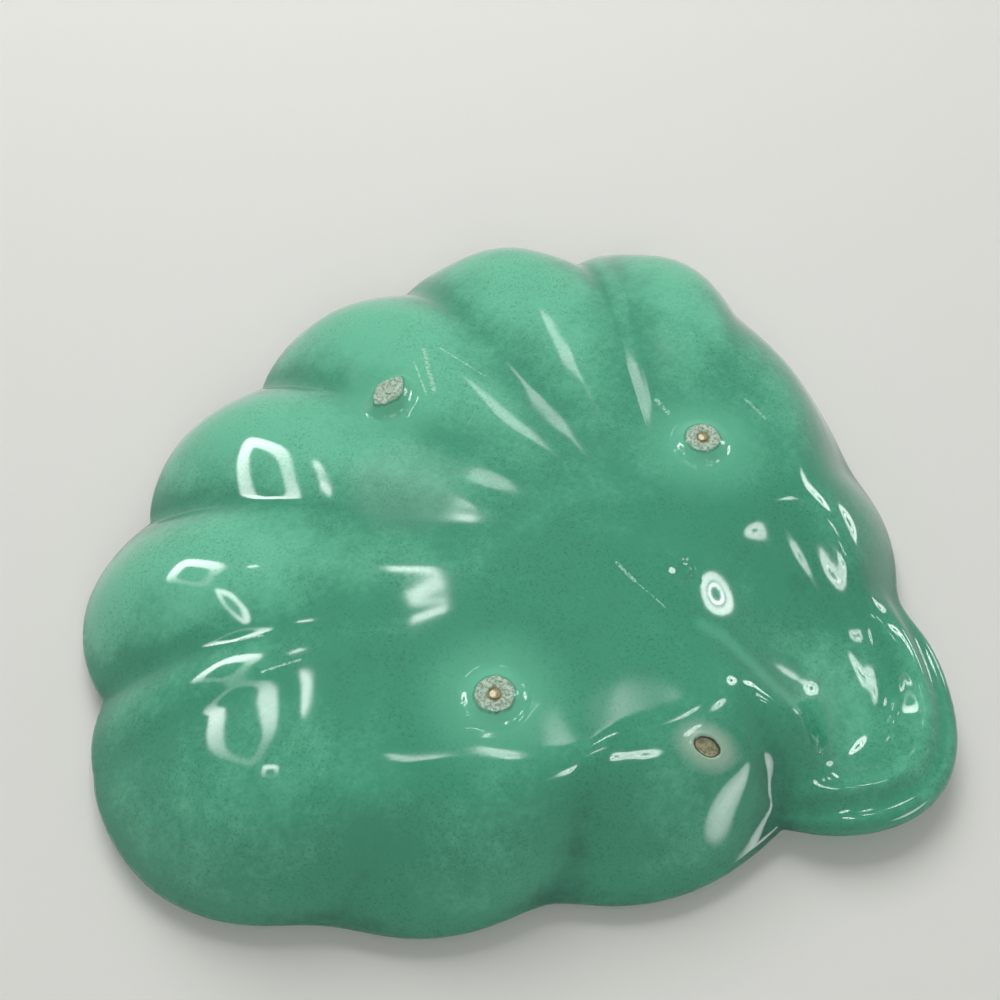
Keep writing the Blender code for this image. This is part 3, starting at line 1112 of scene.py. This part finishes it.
level = Vector((-math.cos(camera_turn), -math.sin(camera_turn), 0.0))
up_axis = Vector((0.0, 0.0, 1.0))
ahead = level * math.cos(camera_tilt) + up_axis * math.sin(camera_tilt)
above = level * math.sin(camera_tilt) - up_axis * math.cos(camera_tilt)
rightward = ahead.cross(above)

camera = bpy.data.objects.new("camera", bpy.data.cameras.new("camera"))
bpy.context.scene.collection.objects.link(camera)
bpy.context.scene.camera = camera
camera.location = camera_place
camera.rotation_mode = "QUATERNION"
turn = ahead.to_track_quat("-Z", "Y").to_matrix()
for row in range(3):
    turn[row] = (rightward[row], above[row], -ahead[row])
camera.rotation_quaternion = turn.to_quaternion()
camera.data.sensor_width = sensor_width
camera.data.lens = lens_length
camera.data.clip_start = closest_view
print("camera in mm:", [round(value / MM, 1) for value in camera_place])

# %% [markdown]
# Soft studio light
#
# A broad key from the far side and a weaker fill from the near side model the lobes, and two lamps stand over
# the bowl for the other views. They aren't mirrored, because a broad lamp would whiten a whole lobe.

# %% Light the dish
lamp_distance = 0.7
soft_size = 0.45


def lamp(name, direction, width, height, power, mirrored=True, shape="RECTANGLE"):
    """An area lamp that points at the middle of the dish."""
    light = bpy.data.lights.new(name, "AREA")
    light.shape = shape
    light.size = width
    light.size_y = height
    light.energy = power
    item = bpy.data.objects.new(name, light)
    bpy.context.scene.collection.objects.link(item)
    item.location = direction.normalized() * lamp_distance
    item.rotation_mode = "QUATERNION"
    item.rotation_quaternion = (-direction).to_track_quat("-Z", "Y")
    item.visible_glossy = mirrored
    return item


def from_photo(azimuth, elevation):
    """A direction in the photograph's own terms: 0 is away from the camera, 90 right, and up from the board."""
    turn = math.radians(azimuth)
    rise = math.radians(elevation)
    return (level * math.cos(turn) + rightward * math.sin(turn)) * math.cos(rise) - up_axis * math.sin(rise)


soft_lamps = {
    "key": (from_photo(-12.0, 50.0), 3.4),
    "fill": (from_photo(170.0, 35.0), 1.3),
    "bowl_key": (up_axis + rightward * 0.5 - level * 0.7, 2.4),
    "bowl_fill": (up_axis - rightward * 0.9 + level * 0.4, 1.2),
}
for name, (direction, power) in soft_lamps.items():
    lamp(name, direction, soft_size, soft_size, power, mirrored=False)
print("soft lamps:", len(soft_lamps))

# %% [markdown]
# What the glaze mirrors
#
# Gloss is only as good as what it mirrors, so windows on the left and small lamps all round are there for
# the glaze alone: they light nothing, and each is as bright as its own highlight. A plain square of light
# looks like a sticker in a curved glaze, so most lamps have a pattern: a window with one bright side, a ring
# with a bright inner line, or a soft disc.

# %% Patterns on a lamp
ring_line_start = (0.34, 0.38)
ring_line_end = (0.52, 0.46)
ring_band = (0.55, 0.68)
ring_band_glow = 0.45
disc_edge = (1.0, 0.7)
disc_core = (0.9, 0.0)
disc_least = 0.6
pane_shift = 0.10
pane_size = 12.0
pane_edge = (0.75, 1.15)
frame_size = 4.0
frame_edge = (1.15, 0.85)
bright_side = (-0.35, 0.25)
bright_least = 0.15


def pattern_shine(glass, pattern):
    """How bright a lamp is from place to place: a ring, a disc, or a window that is brighter to one side."""
    place = glass.vector("SUBTRACT", glass.node("ShaderNodeNewGeometry", output="Parametric"), Vector((0.5, 0.5, 0.0)))
    out = glass.length(place) * 2.0
    if pattern == "ring":
        line = glass.step(out, *ring_line_start) * glass.step(out, *ring_line_end)
        return glass.step(out, *ring_band) * ring_band_glow + line
    if pattern == "disc":
        return glass.step(out, *disc_edge) * (glass.step(out, *disc_core) * (1.0 - disc_least) + disc_least)
    bright = Vector((*pattern, 0.0))
    pane = glass.vector("ADD", place, bright * pane_shift)
    pane = glass.length(glass.vector("MULTIPLY", pane, pane)) * pane_size
    outer = glass.length(glass.vector("MULTIPLY", place, place)) * frame_size
    shine = glass.step(pane, *pane_edge) * glass.step(outer, *frame_edge)
    lean = glass.step(glass.vector("DOT_PRODUCT", place, bright, output="Value"), *bright_side)
    return shine * (lean * (1.0 - bright_least) + bright_least)


def highlight(name, azimuth, elevation, width, height, brightness, pattern=None):
    """A lamp that is only mirrored. Its size is in degrees as seen from the dish, and its brightness its radiance."""
    across = 2.0 * lamp_distance * math.tan(math.radians(width) / 2.0)
    tall = 2.0 * lamp_distance * math.tan(math.radians(height) / 2.0)
    item = lamp(name, from_photo(azimuth, elevation), across, tall, brightness * across * tall * math.pi,
                shape="ELLIPSE" if pattern in ("ring", "disc") else "RECTANGLE")
    item.visible_diffuse = False
    if pattern:
        glass = Paint(item.data, "Emission")
        glass.set(Strength=pattern_shine(glass, pattern))


print("patterns ready")

# %% Hang the highlights
# Where each hangs in the photograph's terms, how wide and tall it looks, how bright it is, and its pattern
highlights = {
    "bowl_window": (115.0, -62.0, 17.0, 14.0, 12.0, (0.8, 0.6)),
    "bowl_ring": (-60.0, -50.0, 6.0, 6.0, 16.0, "ring"),
    "window": (-64.0, 43.0, 24.0, 25.0, 16.0, (0.8, 0.6)),
    "small_window": (-88.0, 60.0, 9.0, 7.0, 14.0, (0.8, 0.2)),
    "far_panel": (3.5, 46.5, 5.0, 4.2, 5.5, None),
    "ceiling_panel": (-12.0, 60.0, 4.0, 1.7, 16.0, None),
    "ceiling_slit": (-36.0, 59.0, 3.0, 1.4, 18.0, None),
    "ring_break_left": (-23.0, 76.5, 1.4, 7.0, 26.0, "ring"),
    "ring_break_middle": (-4.0, 77.0, 1.6, 7.0, 26.0, "ring"),
    "ring_break_right": (74.0, 70.5, 4.0, 6.0, 26.0, "ring"),
    "ring_near": (142.0, 60.0, 6.0, 10.0, 26.0, "ring"),
    "ring_low_right": (58.0, 38.0, 11.0, 18.0, 26.0, "ring"),
    "ring_right": (89.0, 56.0, 7.5, 6.0, 24.0, "ring"),
    "ring_near_right": (114.0, 59.0, 5.0, 5.0, 22.0, "ring"),
    "ring_level": (63.0, 2.0, 14.0, 14.0, 12.0, "ring"),
    "pale_shade": (9.9, 69.8, 4.0, 5.0, 4.5, "disc"),
    "pale_shade_right": (20.7, 66.4, 2.2, 6.5, 4.5, "disc"),
    "pale_curtain": (127.0, 0.0, 24.0, 18.0, 5.5, "disc"),
}
for name, values in highlights.items():
    highlight(name, *values)
print("highlights:", len(highlights))

# %% [markdown]
# The room
#
# The room is plain and pale. It lights the dish gently, and is full strength where it shows: to the camera,
# in gloss and through glass.

# %% Fill the room
room_light = 0.36
world = bpy.data.worlds.new("pale_room")
bpy.context.scene.world = world
room = Paint(world, "Background")
shown = room.ray("Is Camera Ray") + room.ray("Is Glossy Ray") + room.ray("Is Transmission Ray")
room.set(Color=room.mix(shown, pale, glow), Strength=shown + (1.0 - shown) * room_light)
bpy.context.scene.view_settings.view_transform = "Standard"

# %% Note the sizes and finish
low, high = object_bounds()
print("visual box in mm:", [round(side / MM, 1) for side in high - low])
